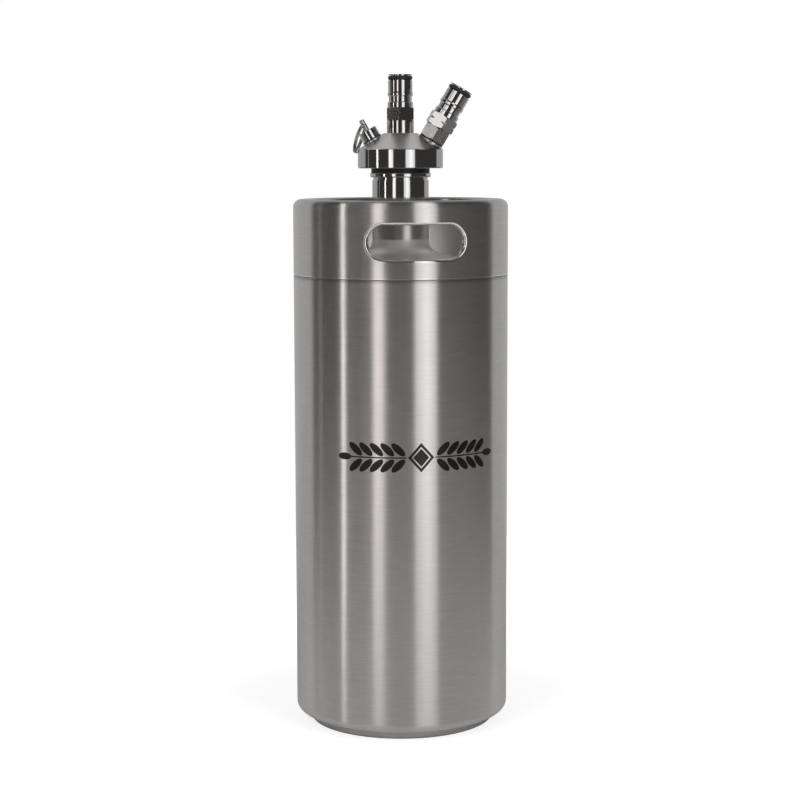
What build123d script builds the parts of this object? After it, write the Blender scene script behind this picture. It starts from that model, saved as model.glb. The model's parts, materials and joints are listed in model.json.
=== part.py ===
from build123d import *
import os
from math import cos, degrees, hypot, radians, sin, tan, atan2

# Double-walled steel mini keg with a screw-in tapping head.
# Millimetres, +Z up, origin on the floor at the middle of the foot ring, -Y is the front.

# ---- keg: sheet steel ----
KEG_RADIUS = 70.0           # outside of the body and of the handle skirt
RIM_HEIGHT = 344.4          # top of the handle skirt
SKIRT_HEIGHT = 48.9         # from that rim down to the seam
SHEET = 0.8                 # thickness of every pressed keg shell
VACUUM_GAP = 3.2            # between the outer and the inner wall
SEAM_GROOVE = 0.3           # width of the groove between the body and the skirt
SEAM_CHAMFER = 0.3          # on both of its edges
SEAM_BACKING = 8.0          # length of shoulder that backs the seam from inside
BODY_CORNER = 5.4           # outside radius at the bottom of the body
RIM_CORNER = 5.2            # outside radius at the top of the skirt
RIM_WIDTH = 13.0            # of the in-turned rim, from the outside of the skirt
RIM_CURL = 5.0              # how far its edge is turned down
RIM_CURL_RADIUS = 1.6

# ---- keg: foot and base ----
FOOT_INSET = 9.7            # of the foot ring, from the outside of the body
FOOT_HEIGHT = 5.9
FOOT_SHEET = 1.2
FOOT_LIP = 5.5              # width of the face that the keg stands on
FOOT_CORNER = 1.3
BASE_FLANGE = 7.0           # width of the outer shell's bottom inside the foot ring
BASE_RECESS_INSET = 2.0     # from that flange's edge to the raised middle of the base plate
BASE_RECESS_SLOPE = 5.0     # how much smaller that middle is at its top
BASE_RECESS = 4.2           # height of the raised middle
BASE_CORNER = 2.0
VACUUM_PORT_RADIUS = 1.2
VACUUM_PLUG_RADIUS = 4.0
VACUUM_PLUG_HEIGHT = 1.2
VESSEL_FLOOR_GAP = 2.4      # under the inner vessel, over the raised middle
VESSEL_CORNER = 7.0

# ---- keg: shoulder and neck ----
SHOULDER_EDGE = 1.7             # over the seam, where the shoulder's slope would meet the wall
SHOULDER_CORNER = 4.0
SHOULDER_RISE = 14.0            # from that edge to where the slope would meet the neck
SHOULDER_FLARE = 8.5            # outside radius where the shoulder turns up the neck
SHOULDER_COLLAR = 7.4           # length of shoulder up the neck, from the flare's corner
VESSEL_FLARE = 4.0
VESSEL_COLLAR = 4.2
NECK_RADIUS = 18.4
NECK_RISE = 16.9                # of the mouth over the skirt's rim
NECK_WALL = 1.05                # below the collar that holds the tube
NECK_LAND = 0.8                 # how far the threaded land stands inwards
NECK_THREAD = 12.6              # length of that land
NECK_BEAD_WIDTH = 1.35          # how far the bead at the mouth stands out
NECK_BEAD = 2.9                 # height of that bead
NECK_UNDERCUT_DEPTH = 0.65
NECK_UNDERCUT = 1.8             # height of the undercut below the bead

# ---- handle slot in the skirt ----
SLOT_HEIGHT = 21.3
SLOT_DROP = 25.5            # from the rim down to the middle of the slot
SLOT_SPAN = 52.0            # degrees round the skirt, from end to end
SLOT_TURN = 8.8             # degrees from the front to the middle of the slot
SLOT_LIP = 3.4              # depth of the turned-in edge, from the outside
SLOT_ROUNDING = 2.0         # on the outside of that edge

# ---- tapping head ----
GASKET_INSET = 0.7          # inside the neck's bead
GASKET_HEIGHT = 2.9
FLANGE_RADIUS = 27.7
FLANGE_HEIGHT = 12.5
FLANGE_CHAMFER = 0.5
CONE_HEIGHT = 10.1
CONE_STEP = 2.2             # width of the flat ring between cone and collar
COLLAR_RADIUS = 8.8
COLLAR_HEIGHT = 8.0
SPIGOT_DEPTH = 14.2         # below the underside of the flange
SPIGOT_WALL = 3.5
SPIGOT_HOLLOW = 16.0        # depth of the hollow, from the spigot's end
THREAD_PITCH = 3.0          # large head thread, drawn as rings
THREAD_DEPTH = 0.7
THREAD_RINGS = 4
THREAD_CLEARANCE = 0.1      # radial, between every drawn male and female thread
RUNNING_CLEARANCE = 0.05    # radial, round every sliding stem
SEAL_CLEARANCE = 0.28       # between a moving rubber seal and a conical seat

# ---- quick-connect posts ----
POST_HEX = 17.3             # across flats
POST_HEX_HEIGHT = 8.6
POST_STUB_RADIUS = 7.5      # threaded stub that a post screws on to
POST_RADIUS = 7.85          # plain body that a connector slides over
POST_RIM_RADIUS = 8.2
POST_WAIST_RADIUS = 7.45
POST_FLARE_RADIUS = 8.15
POST_HEIGHT = 21.1          # above the hexagon
POST_RIM = 3.1              # height of the rim; the next five follow it upwards
POST_WAIST_SLOPE = 0.5
POST_WAIST = 3.2
POST_FLARE_SLOPE = 0.7
POST_FLARE = 1.6
POST_BODY_SLOPE = 0.9
POST_GROOVE = 3.1           # height of the O-ring's groove
POST_LIP = 0.7              # steel above the O-ring
POST_LIP_RADIUS = 7.7
POST_CHAMBER_RADIUS = 5.7
POST_SEAT_DROP = 6.6        # from the top down to where the chamber starts to close
POST_MOUTH_RADIUS = 3.8
ORING_OUTER_RADIUS = 8.0
ORING_SECTION = 2.62
HEX_NOTCH_FLOOR = 8.9       # radius at the bottom of the notches that mark the gas post
HEX_NOTCH_SLOPE = 40.0      # degrees from level, of a notch's two sides

# ---- poppets ----
POPPET_DISC_RADIUS = 5.2
POPPET_DISC = 1.2
POPPET_PIN_RADIUS = 2.4
POPPET_PIN_BELOW_LIP = 0.8
POPPET_GUIDE = 1.5          # length of the guide under the disc
POPPET_GUIDE_RADIUS = 2.6
POPPET_SEAL_RADIUS = 5.0
POPPET_SEAL_TOP_RADIUS = 3.9
POPPET_DROP = 1.5           # from that level down to the top of the disc
POPPET_SPRING_RADIUS = 4.4  # middle of the coil
POPPET_SPRING_WIRE = 0.4    # radius
SPRING_TURNS = 5

# ---- liquid dip tube ----
TUBE_RADIUS = 4.0
TUBE_WALL = 0.8
TUBE_CLEARANCE = 0.15
TUBE_END_GAP = 4.7          # over the vessel's floor
TUBE_END_SLANT = 4.0
TUBE_FLANGE_RADIUS = 7.3
TUBE_FLANGE = 0.8
TUBE_ORING_SECTION = 1.8

# ---- gas port ----
GAS_INSET = 7.9             # from the flange's edge in to the port's middle
GAS_TILT = 30.4             # degrees from upright, towards +X
BOSS_STAND = 0.35           # height of a boss over the cone, at its middle
GAS_BOSS_RADIUS = 8.25
BOSS_ROOT = 5.0             # depth of a boss inside the head
GAS_PORT_RADIUS = 6.6
GAS_PORT_DEPTH = 10.0
GAS_PASSAGE_RADIUS = 2.3
PASSAGE_LENGTH = 20.0
WASHER_RADIUS = 8.2
WASHER_HEIGHT = 1.0
ADAPTER_HEX = 16.5
ADAPTER_HEX_HEIGHT = 8.7
GAS_POST_TURN = 9.0         # degrees about its own axis
PORT_END_GAP = 1.0          # below each stub in its port

# ---- relief valve ----
RELIEF_INSET = 9.5          # from the flange's edge in to the port's middle
RELIEF_TILT = 30.0          # degrees from upright, towards -X
RELIEF_BOSS_RADIUS = 6.5
RELIEF_PORT_RADIUS = 4.9
RELIEF_PORT_DEPTH = 8.8
RELIEF_PASSAGE_RADIUS = 1.6
RELIEF_WASHER_RADIUS = 6.4
RELIEF_WASHER_HEIGHT = 0.8
RELIEF_RADIUS = 6.1
RELIEF_TOP = 6.9            # top of the cap above the boss
RELIEF_CAP = 1.4
RELIEF_CAP_SPIGOT = 1.0
RELIEF_CAVITY_RADIUS = 3.9
RELIEF_SEAT = -4.8          # height of the valve seat from the boss
RELIEF_VENT_RADIUS = 0.8
RELIEF_VENT_HEIGHT = 2.0
RELIEF_VENT_TURN = -30.0    # degrees from the front
RELIEF_SEAL_RADIUS = 3.0
RELIEF_SEAL = 1.0
STEM_RADIUS = 1.7
STEM_FLANGE_RADIUS = 3.4
STEM_FLANGE = 0.8
STEM_CORE_RADIUS = 0.9
STEM_TIP = 14.6
STEM_CHAMFER = 0.5
STEM_HOLE_RADIUS = 1.28
STEM_HOLE_HEIGHT = 11.5
STEM_TURN = -16.0           # degrees about its own axis
RELIEF_SPRING_RADIUS = 2.75
RELIEF_SPRING_WIRE = 0.35

# ---- pull ring ----
PULL_RING_RADIUS = 9.55     # middle of the wire
PULL_RING_WIRE = 0.55       # radius
PULL_RING_PITCH = 1.12
PULL_RING_LEAN = 19.0       # degrees that the hanging ring leans outwards

# ---- heights and places that follow ----
SEAM_HEIGHT = RIM_HEIGHT - SKIRT_HEIGHT
SLOT_MIDDLE_HEIGHT = RIM_HEIGHT - SLOT_DROP
RIM_INNER_RADIUS = KEG_RADIUS - RIM_WIDTH
FOOT_RADIUS = KEG_RADIUS - FOOT_INSET
BASE_HOLE_RADIUS = FOOT_RADIUS - BASE_FLANGE
BASE_RECESS_RADIUS = BASE_HOLE_RADIUS - BASE_RECESS_INSET
VESSEL_FLOOR = FOOT_HEIGHT + BASE_RECESS + VESSEL_FLOOR_GAP
SHOULDER_EDGE_HEIGHT = SEAM_HEIGHT + SHOULDER_EDGE
SHOULDER_TOP = SHOULDER_EDGE_HEIGHT + SHOULDER_RISE
NECK_TOP = RIM_HEIGHT + NECK_RISE
NECK_SEAT_RADIUS = NECK_RADIUS - SHEET
NECK_RELIEF_RADIUS = NECK_SEAT_RADIUS - NECK_WALL
NECK_BORE_RADIUS = NECK_RELIEF_RADIUS - NECK_LAND
NECK_BEAD_RADIUS = NECK_RADIUS + NECK_BEAD_WIDTH
NECK_UNDERCUT_RADIUS = NECK_RADIUS - NECK_UNDERCUT_DEPTH
GASKET_RADIUS = NECK_BEAD_RADIUS - GASKET_INSET
SPIGOT_RADIUS = NECK_BORE_RADIUS - THREAD_CLEARANCE
SPIGOT_HOLLOW_RADIUS = SPIGOT_RADIUS - SPIGOT_WALL
CONE_TOP_RADIUS = COLLAR_RADIUS + CONE_STEP
TUBE_END_HEIGHT = VESSEL_FLOOR + SHEET + TUBE_END_GAP
GAS_OUT = FLANGE_RADIUS - GAS_INSET
RELIEF_OUT = FLANGE_RADIUS - RELIEF_INSET
FLANGE_BOTTOM = NECK_TOP + GASKET_HEIGHT
FLANGE_TOP = FLANGE_BOTTOM + FLANGE_HEIGHT
CONE_BASE_RADIUS = FLANGE_RADIUS - FLANGE_CHAMFER
CONE_TOP = FLANGE_TOP + CONE_HEIGHT
COLLAR_TOP = CONE_TOP + COLLAR_HEIGHT
LIQUID_SHOULDER = COLLAR_TOP + POST_HEX_HEIGHT
STUB_TOP = LIQUID_SHOULDER - TUBE_FLANGE - TUBE_ORING_SECTION
ADAPTER_TOP = WASHER_HEIGHT + ADAPTER_HEX_HEIGHT
CONE_FALL = CONE_HEIGHT / (CONE_BASE_RADIUS - CONE_TOP_RADIUS)
POST_TOP = POST_HEX_HEIGHT + POST_HEIGHT
POST_SEAT = POST_TOP - POST_SEAT_DROP
POST_LIP_BOTTOM = POST_TOP - POST_LIP
POST_BODY_TOP = POST_LIP_BOTTOM - POST_GROOVE
POPPET_DISC_TOP = POST_SEAT - POPPET_DROP


def tilted_frame(out, tilt):
    """Local frame of a port on the cone: Z along its axis, Y to the back, origin on its boss."""
    side = 1 if tilt > 0 else -1
    height = CONE_TOP - (out - CONE_TOP_RADIUS) * CONE_FALL + BOSS_STAND
    lean = radians(tilt)
    return Plane(origin=(side * out, 0, height), x_dir=(cos(lean), 0, -sin(lean)),
                 z_dir=(sin(lean), 0, cos(lean)))


GAS_FRAME = tilted_frame(GAS_OUT, GAS_TILT)
RELIEF_FRAME = tilted_frame(RELIEF_OUT, -RELIEF_TILT)
GAS_POST_FRAME = GAS_FRAME * Pos(0, 0, ADAPTER_TOP) * Rot(0, 0, GAS_POST_TURN)
STEM_FRAME = RELIEF_FRAME * Rot(0, 0, STEM_TURN)


# ---- ways to shape metal ----
def turned(*corners):
    """Solid turned about Z from a closed outline of (radius, height) or (radius, height, fillet)."""
    fillets = [corner[2] if len(corner) > 2 else 0 for corner in corners]
    outline = FilletPolyline(*[corner[:2] for corner in corners], radius=fillets, close=True)
    return revolve(Plane.XZ * make_face(outline), Axis.Z)


def pressed(*corners, sheet=SHEET):
    """Sheet turned about Z: its first face follows the corners, its thickness lies to their left."""
    fillets = [corner[2] for corner in corners[1:-1]]
    path = FilletPolyline(*[corner[:2] for corner in corners], radius=fillets)
    outline = offset(path, sheet, side=Side.LEFT)
    return revolve(Plane.XZ * make_face(outline.edges()), Axis.Z)


def tube(inner, outer, low, high):
    """Plain ring about Z."""
    return turned((inner, low), (outer, low), (outer, high), (inner, high))


def rod(radius, low, high):
    """Plain cylinder about Z."""
    return turned((0, low), (radius, low), (radius, high), (0, high))


def hexagon(across_flats, low, high):
    """Hexagonal bar about Z with a corner to the front, its ends chamfered as on a turned nut."""
    flat = across_flats / 2
    corner = flat / cos(radians(30))
    bevel = (corner - flat) * tan(radians(30))
    bar = extrude(RegularPolygon(flat, 6, major_radius=False, rotation=30), high - low)
    turning = turned((0, low), (flat, low), (corner, low + bevel), (corner, high - bevel),
                     (flat, high), (0, high))
    return Pos(0, 0, low) * bar & turning


def coil(radius, wire, low, high):
    """Compression spring about Z that fills the height from low to high."""
    pitch = (high - low - 2 * wire) / SPRING_TURNS
    path = Helix(pitch=pitch, height=pitch * SPRING_TURNS, radius=radius, center=(0, 0, low + wire))
    return sweep(Plane(origin=path @ 0, z_dir=path % 0) * Circle(wire), path=path)


def outermost_circle(solid, height):
    """The largest round edge at one height."""
    level = [edge for edge in solid.edges().filter_by(GeomType.CIRCLE)
             if abs(edge.center().Z - height) < SHEET / 10]
    return max(level, key=lambda edge: edge.radius)


# ---- keg ----
def outer_shell():
    """Body wall, drawn in one with the flange of its bottom."""
    top = SEAM_HEIGHT - SEAM_GROOVE / 2
    shell = pressed((BASE_HOLE_RADIUS, FOOT_HEIGHT), (KEG_RADIUS, FOOT_HEIGHT, BODY_CORNER),
                    (KEG_RADIUS, top))
    return chamfer(outermost_circle(shell, top), SEAM_CHAMFER)


def outer_shoulder():
    """Dome that backs the seam, slopes to the neck and turns up round it."""
    wall = KEG_RADIUS - SHEET
    return pressed((wall, SEAM_HEIGHT - SEAM_BACKING),
                   (wall, SHOULDER_EDGE_HEIGHT, SHOULDER_CORNER),
                   (NECK_RADIUS, SHOULDER_TOP, SHOULDER_FLARE),
                   (NECK_RADIUS, SHOULDER_TOP + SHOULDER_COLLAR))


def vessel_corner_height(radius):
    """Height of the inner dome's outer face, one vacuum gap inside the shoulder."""
    run = KEG_RADIUS - SHEET - NECK_RADIUS
    slope = atan2(SHOULDER_RISE, run)
    drop = (SHEET + VACUUM_GAP) / cos(slope)
    return SHOULDER_EDGE_HEIGHT + (KEG_RADIUS - SHEET - radius) * tan(slope) - drop


def inner_vessel():
    """Vessel that holds the beer: floor, wall and dome, open at the neck."""
    wall = KEG_RADIUS - SHEET - VACUUM_GAP
    neck_corner = vessel_corner_height(NECK_RADIUS)
    return pressed((0, VESSEL_FLOOR), (wall, VESSEL_FLOOR, VESSEL_CORNER),
                   (wall, vessel_corner_height(wall), SHOULDER_CORNER),
                   (NECK_RADIUS, neck_corner, VESSEL_FLARE),
                   (NECK_RADIUS, neck_corner + VESSEL_COLLAR))


def neck_tube():
    """Neck with a bead at its mouth and a thread drawn as rings, set into both domes."""
    collar_top = SHOULDER_TOP + SHOULDER_COLLAR
    bottom = vessel_corner_height(NECK_RADIUS) + VESSEL_COLLAR / 2
    bead = NECK_TOP - NECK_BEAD
    outside = [(NECK_RELIEF_RADIUS, bottom), (NECK_SEAT_RADIUS, bottom),
               (NECK_SEAT_RADIUS, collar_top), (NECK_RADIUS, collar_top),
               (NECK_RADIUS, bead - NECK_UNDERCUT), (NECK_UNDERCUT_RADIUS, bead - NECK_UNDERCUT),
               (NECK_UNDERCUT_RADIUS, bead), (NECK_BEAD_RADIUS, bead, NECK_BEAD / 4),
               (NECK_BEAD_RADIUS, NECK_TOP, NECK_BEAD / 4)]
    mouth = [(NECK_BORE_RADIUS + THREAD_DEPTH, NECK_TOP), (NECK_BORE_RADIUS, NECK_TOP - THREAD_DEPTH)]
    rings = thread_rings(NECK_BORE_RADIUS, NECK_BORE_RADIUS + THREAD_DEPTH, NECK_TOP - NECK_THREAD)
    land = [(NECK_BORE_RADIUS, NECK_TOP - NECK_THREAD), (NECK_RELIEF_RADIUS, NECK_TOP - NECK_THREAD)]
    return turned(*outside, *mouth, *reversed(rings), *land)


def thread_rings(crest, root, low):
    """Corners of the head thread's grooves, upwards from its lower end."""
    corners = []
    for ring in range(THREAD_RINGS):
        start = low + THREAD_PITCH / 4 + ring * THREAD_PITCH
        corners += [(crest, start), (root, start + THREAD_PITCH / 4), (crest, start + THREAD_PITCH / 2)]
    return corners


def slot_cutter(grow=0):
    """Rounded slot that follows the skirt: a wedge about the keg's axis with a round bar at each end."""
    reach = 2 * KEG_RADIUS
    half_height = SLOT_HEIGHT / 2
    end_turn = SLOT_SPAN / 2 - degrees(half_height / KEG_RADIUS)
    turns = [SLOT_TURN - end_turn, SLOT_TURN + end_turn]
    ends = [(reach * sin(radians(turn)), -reach * cos(radians(turn))) for turn in turns]
    wedge = extrude(make_face(Polyline((0, 0), *ends, close=True)), half_height + grow, both=True)
    cutter = Pos(0, 0, SLOT_MIDDLE_HEIGHT) * wedge
    for x, y in ends:
        bar = Plane(origin=(0, 0, SLOT_MIDDLE_HEIGHT), z_dir=(x, y, 0))
        cutter += bar * extrude(Circle(half_height + grow), reach)
    return cutter


def handle_skirt():
    """Skirt with an in-turned rim and one hand slot whose edge is rolled in, one sheet thick."""
    bottom = SEAM_HEIGHT + SEAM_GROOVE / 2
    skirt = pressed((KEG_RADIUS, bottom), (KEG_RADIUS, RIM_HEIGHT, RIM_CORNER),
                    (RIM_INNER_RADIUS, RIM_HEIGHT, RIM_CURL_RADIUS),
                    (RIM_INNER_RADIUS, RIM_HEIGHT - RIM_CURL))
    skirt = chamfer(outermost_circle(skirt, bottom), SEAM_CHAMFER)
    backing = tube(KEG_RADIUS - SLOT_LIP, KEG_RADIUS - SHEET, bottom, RIM_HEIGHT - RIM_CORNER)
    mouth = rounded_slot(skirt + backing, KEG_RADIUS, 0, SLOT_ROUNDING)
    return mouth - rounded_slot(backing, KEG_RADIUS - SHEET, SHEET, SLOT_ROUNDING - SHEET)


def rounded_slot(wall, radius, grow, rounding):
    """Wall with the slot cut through it and the slot's edge rounded where it breaks the given radius."""
    wall = wall - slot_cutter(grow)
    half_height = SLOT_HEIGHT / 2 + grow
    edges = [edge for edge in wall.edges()
             if all(abs(hypot(point.X, point.Y) - radius) < SHEET / 10
                    for point in (edge @ 0, edge @ 0.5, edge @ 1))
             and all(abs(point.Z - SLOT_MIDDLE_HEIGHT) < half_height + SHEET / 10
                     for point in (edge @ 0, edge @ 0.5, edge @ 1))]
    return fillet(edges, rounding)


def foot_ring():
    """Ring that the keg stands on, turned in at its foot."""
    return pressed((FOOT_RADIUS - FOOT_LIP, 0), (FOOT_RADIUS, 0, FOOT_CORNER),
                   (FOOT_RADIUS, FOOT_HEIGHT), sheet=FOOT_SHEET)


def base_plate():
    """Plate that closes the outer shell inside the foot ring, with the evacuation hole."""
    rim = FOOT_HEIGHT - SHEET
    plate = pressed((0, rim + BASE_RECESS), (BASE_RECESS_RADIUS - BASE_RECESS_SLOPE, rim + BASE_RECESS,
                                             BASE_CORNER),
                    (BASE_RECESS_RADIUS, rim, BASE_CORNER),
                    (FOOT_RADIUS - FOOT_SHEET - THREAD_CLEARANCE, rim))
    return plate - rod(VACUUM_PORT_RADIUS, 0, VESSEL_FLOOR)


def vacuum_seal_plug():
    """Solder button that seals the evacuation hole from below."""
    top = FOOT_HEIGHT - SHEET + BASE_RECESS
    return turned((0, top - VACUUM_PLUG_HEIGHT), (VACUUM_PLUG_RADIUS, top - VACUUM_PLUG_HEIGHT,
                                                  VACUUM_PLUG_HEIGHT / 2),
                  (VACUUM_PLUG_RADIUS, top), (0, top))


# ---- tapping head ----
def head_gasket():
    """Flat rubber seal between the neck's bead and the flange."""
    return tube(SPIGOT_RADIUS + 2 * THREAD_CLEARANCE, GASKET_RADIUS, NECK_TOP, FLANGE_BOTTOM)


def port_cut(radius, depth, passage_radius):
    """Threaded port with the narrow passage that leads on from it, in the port's own frame."""
    return rod(radius, -depth, BOSS_ROOT) + rod(passage_radius, -PASSAGE_LENGTH, -depth / 2)


def head_body():
    """Threaded spigot, flange, cone and collar in one piece, with two tilted ports."""
    end = FLANGE_BOTTOM - SPIGOT_DEPTH
    bore = TUBE_RADIUS + TUBE_CLEARANCE
    spigot = [(SPIGOT_HOLLOW_RADIUS, end), (SPIGOT_RADIUS - THREAD_DEPTH, end),
              (SPIGOT_RADIUS, end + THREAD_DEPTH)]
    thread = thread_rings(SPIGOT_RADIUS, SPIGOT_RADIUS - THREAD_DEPTH, end + THREAD_DEPTH)
    flange = [(SPIGOT_RADIUS, FLANGE_BOTTOM), (FLANGE_RADIUS - FLANGE_CHAMFER, FLANGE_BOTTOM),
              (FLANGE_RADIUS, FLANGE_BOTTOM + FLANGE_CHAMFER), (FLANGE_RADIUS, FLANGE_TOP - FLANGE_CHAMFER),
              (CONE_BASE_RADIUS, FLANGE_TOP), (CONE_TOP_RADIUS, CONE_TOP)]
    collar = [(COLLAR_RADIUS, CONE_TOP), (COLLAR_RADIUS, COLLAR_TOP), (POST_STUB_RADIUS, COLLAR_TOP),
              (POST_STUB_RADIUS, STUB_TOP), (bore, STUB_TOP)]
    hollow = [(bore, end + SPIGOT_HOLLOW), (SPIGOT_HOLLOW_RADIUS, end + SPIGOT_HOLLOW)]
    body = turned(*spigot, *thread, *flange, *collar, *hollow)
    body += GAS_FRAME * rod(GAS_BOSS_RADIUS, -BOSS_ROOT, 0)
    body += RELIEF_FRAME * rod(RELIEF_BOSS_RADIUS, -BOSS_ROOT, 0)
    body -= GAS_FRAME * port_cut(GAS_PORT_RADIUS, GAS_PORT_DEPTH, GAS_PASSAGE_RADIUS)
    return body - RELIEF_FRAME * port_cut(RELIEF_PORT_RADIUS, RELIEF_PORT_DEPTH, RELIEF_PASSAGE_RADIUS)


# ---- posts, each in a frame whose origin is the middle of the hexagon's underside ----
def post():
    """Hollow quick-connect post: hexagon, waisted body, O-ring groove and lip."""
    root = POST_HEX_HEIGHT / 2
    rim = POST_HEX_HEIGHT + POST_RIM
    waist = rim + POST_WAIST_SLOPE
    flare = waist + POST_WAIST + POST_FLARE_SLOPE
    body = flare + POST_FLARE + POST_BODY_SLOPE
    groove_floor = ORING_OUTER_RADIUS - ORING_SECTION
    outside = [(POST_RIM_RADIUS, root), (POST_RIM_RADIUS, rim),
               (POST_WAIST_RADIUS, waist), (POST_WAIST_RADIUS, waist + POST_WAIST),
               (POST_FLARE_RADIUS, flare), (POST_FLARE_RADIUS, flare + POST_FLARE),
               (POST_RADIUS, body), (POST_RADIUS, POST_BODY_TOP),
               (groove_floor, POST_BODY_TOP), (groove_floor, POST_LIP_BOTTOM),
               (POST_LIP_RADIUS, POST_LIP_BOTTOM), (POST_LIP_RADIUS, POST_TOP, POST_LIP / 2)]
    solid = turned((0, root), *outside, (0, POST_TOP))
    seat_rise = POST_CHAMBER_RADIUS - POST_MOUTH_RADIUS
    stub_bore = POST_STUB_RADIUS + THREAD_CLEARANCE
    inside = turned((0, 0), (stub_bore, 0), (stub_bore, POST_HEX_HEIGHT),
                    (POST_CHAMBER_RADIUS, POST_HEX_HEIGHT), (POST_CHAMBER_RADIUS, POST_SEAT),
                    (POST_MOUTH_RADIUS, POST_SEAT + seat_rise), (POST_MOUTH_RADIUS, POST_TOP),
                    (0, POST_TOP))
    return hexagon(POST_HEX, 0, POST_HEX_HEIGHT) + solid - inside


def notched_post():
    """Gas post: the same, with a ring of notches cut in the corners of its hexagon."""
    middle = POST_HEX_HEIGHT / 2
    rise = (POST_HEX - HEX_NOTCH_FLOOR) * tan(radians(HEX_NOTCH_SLOPE))
    return post() - turned((HEX_NOTCH_FLOOR, middle), (POST_HEX, middle - rise), (POST_HEX, middle + rise))


def post_oring():
    """Rubber ring in the groove of a post."""
    middle = (POST_BODY_TOP + POST_LIP_BOTTOM) / 2
    return Pos(0, 0, middle) * Torus(ORING_OUTER_RADIUS - ORING_SECTION / 2, ORING_SECTION / 2)


def poppet():
    """Valve that the connector's pin pushes down: guide, disc and pin."""
    disc = POPPET_DISC_TOP - POPPET_DISC
    tip = POST_TOP - POPPET_PIN_BELOW_LIP
    return turned((0, disc - POPPET_GUIDE), (POPPET_GUIDE_RADIUS, disc - POPPET_GUIDE),
                  (POPPET_GUIDE_RADIUS, disc), (POPPET_DISC_RADIUS, disc),
                  (POPPET_DISC_RADIUS, POPPET_DISC_TOP), (POPPET_PIN_RADIUS, POPPET_DISC_TOP),
                  (POPPET_PIN_RADIUS, tip, POPPET_PIN_RADIUS / 3), (0, tip))


def poppet_seal():
    """Rubber cone on the poppet that closes against the post's seat."""
    slant = POST_CHAMBER_RADIUS + POST_SEAT - SEAL_CLEARANCE / sin(radians(45))    # radius plus height
    inner = POPPET_PIN_RADIUS + RUNNING_CLEARANCE
    return turned((inner, POPPET_DISC_TOP), (POPPET_SEAL_RADIUS, POPPET_DISC_TOP),
                  (POPPET_SEAL_RADIUS, slant - POPPET_SEAL_RADIUS),
                  (POPPET_SEAL_TOP_RADIUS, slant - POPPET_SEAL_TOP_RADIUS),
                  (inner, slant - POPPET_SEAL_TOP_RADIUS))


def poppet_spring():
    """Spring between the post's shoulder level and the poppet's disc."""
    return coil(POPPET_SPRING_RADIUS, POPPET_SPRING_WIRE, POST_HEX_HEIGHT,
                POPPET_DISC_TOP - POPPET_DISC)


# ---- liquid side ----
def dip_tube():
    """Tube from the post down to the vessel's floor, with a flange on top and a slanted end."""
    bore = TUBE_RADIUS - TUBE_WALL
    flange = LIQUID_SHOULDER - TUBE_FLANGE
    pipe = turned((bore, TUBE_END_HEIGHT), (TUBE_RADIUS, TUBE_END_HEIGHT), (TUBE_RADIUS, flange),
                  (TUBE_FLANGE_RADIUS, flange), (TUBE_FLANGE_RADIUS, LIQUID_SHOULDER),
                  (bore, LIQUID_SHOULDER))
    slant = make_face(Plane.XZ * Polyline((-TUBE_RADIUS, TUBE_END_HEIGHT), (TUBE_RADIUS, TUBE_END_HEIGHT),
                                          (TUBE_RADIUS, TUBE_END_HEIGHT + TUBE_END_SLANT), close=True))
    return pipe - extrude(slant, TUBE_RADIUS, both=True)


def dip_tube_oring():
    """Rubber ring squeezed between the tube's flange and the head's stub."""
    section = TUBE_ORING_SECTION / 2
    return Pos(0, 0, STUB_TOP + section) * Torus(TUBE_RADIUS + TUBE_CLEARANCE + section, section)


# ---- gas side, in the gas port's frame ----
def gas_port_washer():
    """Rubber washer between the boss and the adapter."""
    return tube(GAS_PORT_RADIUS, WASHER_RADIUS, 0, WASHER_HEIGHT)


def gas_port_adapter():
    """Hexagon with a stub below for the head and a stub above for the post."""
    middle = (WASHER_HEIGHT + ADAPTER_TOP) / 2
    low_stub = rod(GAS_PORT_RADIUS - THREAD_CLEARANCE, PORT_END_GAP - GAS_PORT_DEPTH, middle)
    high_stub = rod(POST_STUB_RADIUS, middle, ADAPTER_TOP + POST_HEX_HEIGHT)
    bar = hexagon(ADAPTER_HEX, WASHER_HEIGHT, ADAPTER_TOP)
    passage = rod(GAS_PASSAGE_RADIUS, -GAS_PORT_DEPTH, ADAPTER_TOP + POST_TOP)
    return low_stub + bar + high_stub - passage


# ---- relief valve, in the relief port's frame ----
def relief_valve_washer():
    """Rubber washer between the boss and the valve."""
    return tube(RELIEF_PORT_RADIUS, RELIEF_WASHER_RADIUS, 0, RELIEF_WASHER_HEIGHT)


def relief_valve_body():
    """Threaded cup with the valve seat at its floor and a vent hole in its side."""
    stub = RELIEF_PORT_RADIUS - THREAD_CLEARANCE
    end = PORT_END_GAP - RELIEF_PORT_DEPTH
    top = RELIEF_TOP - RELIEF_CAP
    cup = turned((RELIEF_PASSAGE_RADIUS, end), (stub, end), (stub, RELIEF_WASHER_HEIGHT),
                 (RELIEF_RADIUS, RELIEF_WASHER_HEIGHT), (RELIEF_RADIUS, top), (RELIEF_CAVITY_RADIUS, top),
                 (RELIEF_CAVITY_RADIUS, RELIEF_SEAT), (RELIEF_PASSAGE_RADIUS, RELIEF_SEAT))
    vent = Rot(0, 0, RELIEF_VENT_TURN) * Plane(origin=(0, 0, RELIEF_VENT_HEIGHT), z_dir=(0, -1, 0))
    return cup - vent * extrude(Circle(RELIEF_VENT_RADIUS), 2 * RELIEF_RADIUS)


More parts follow.
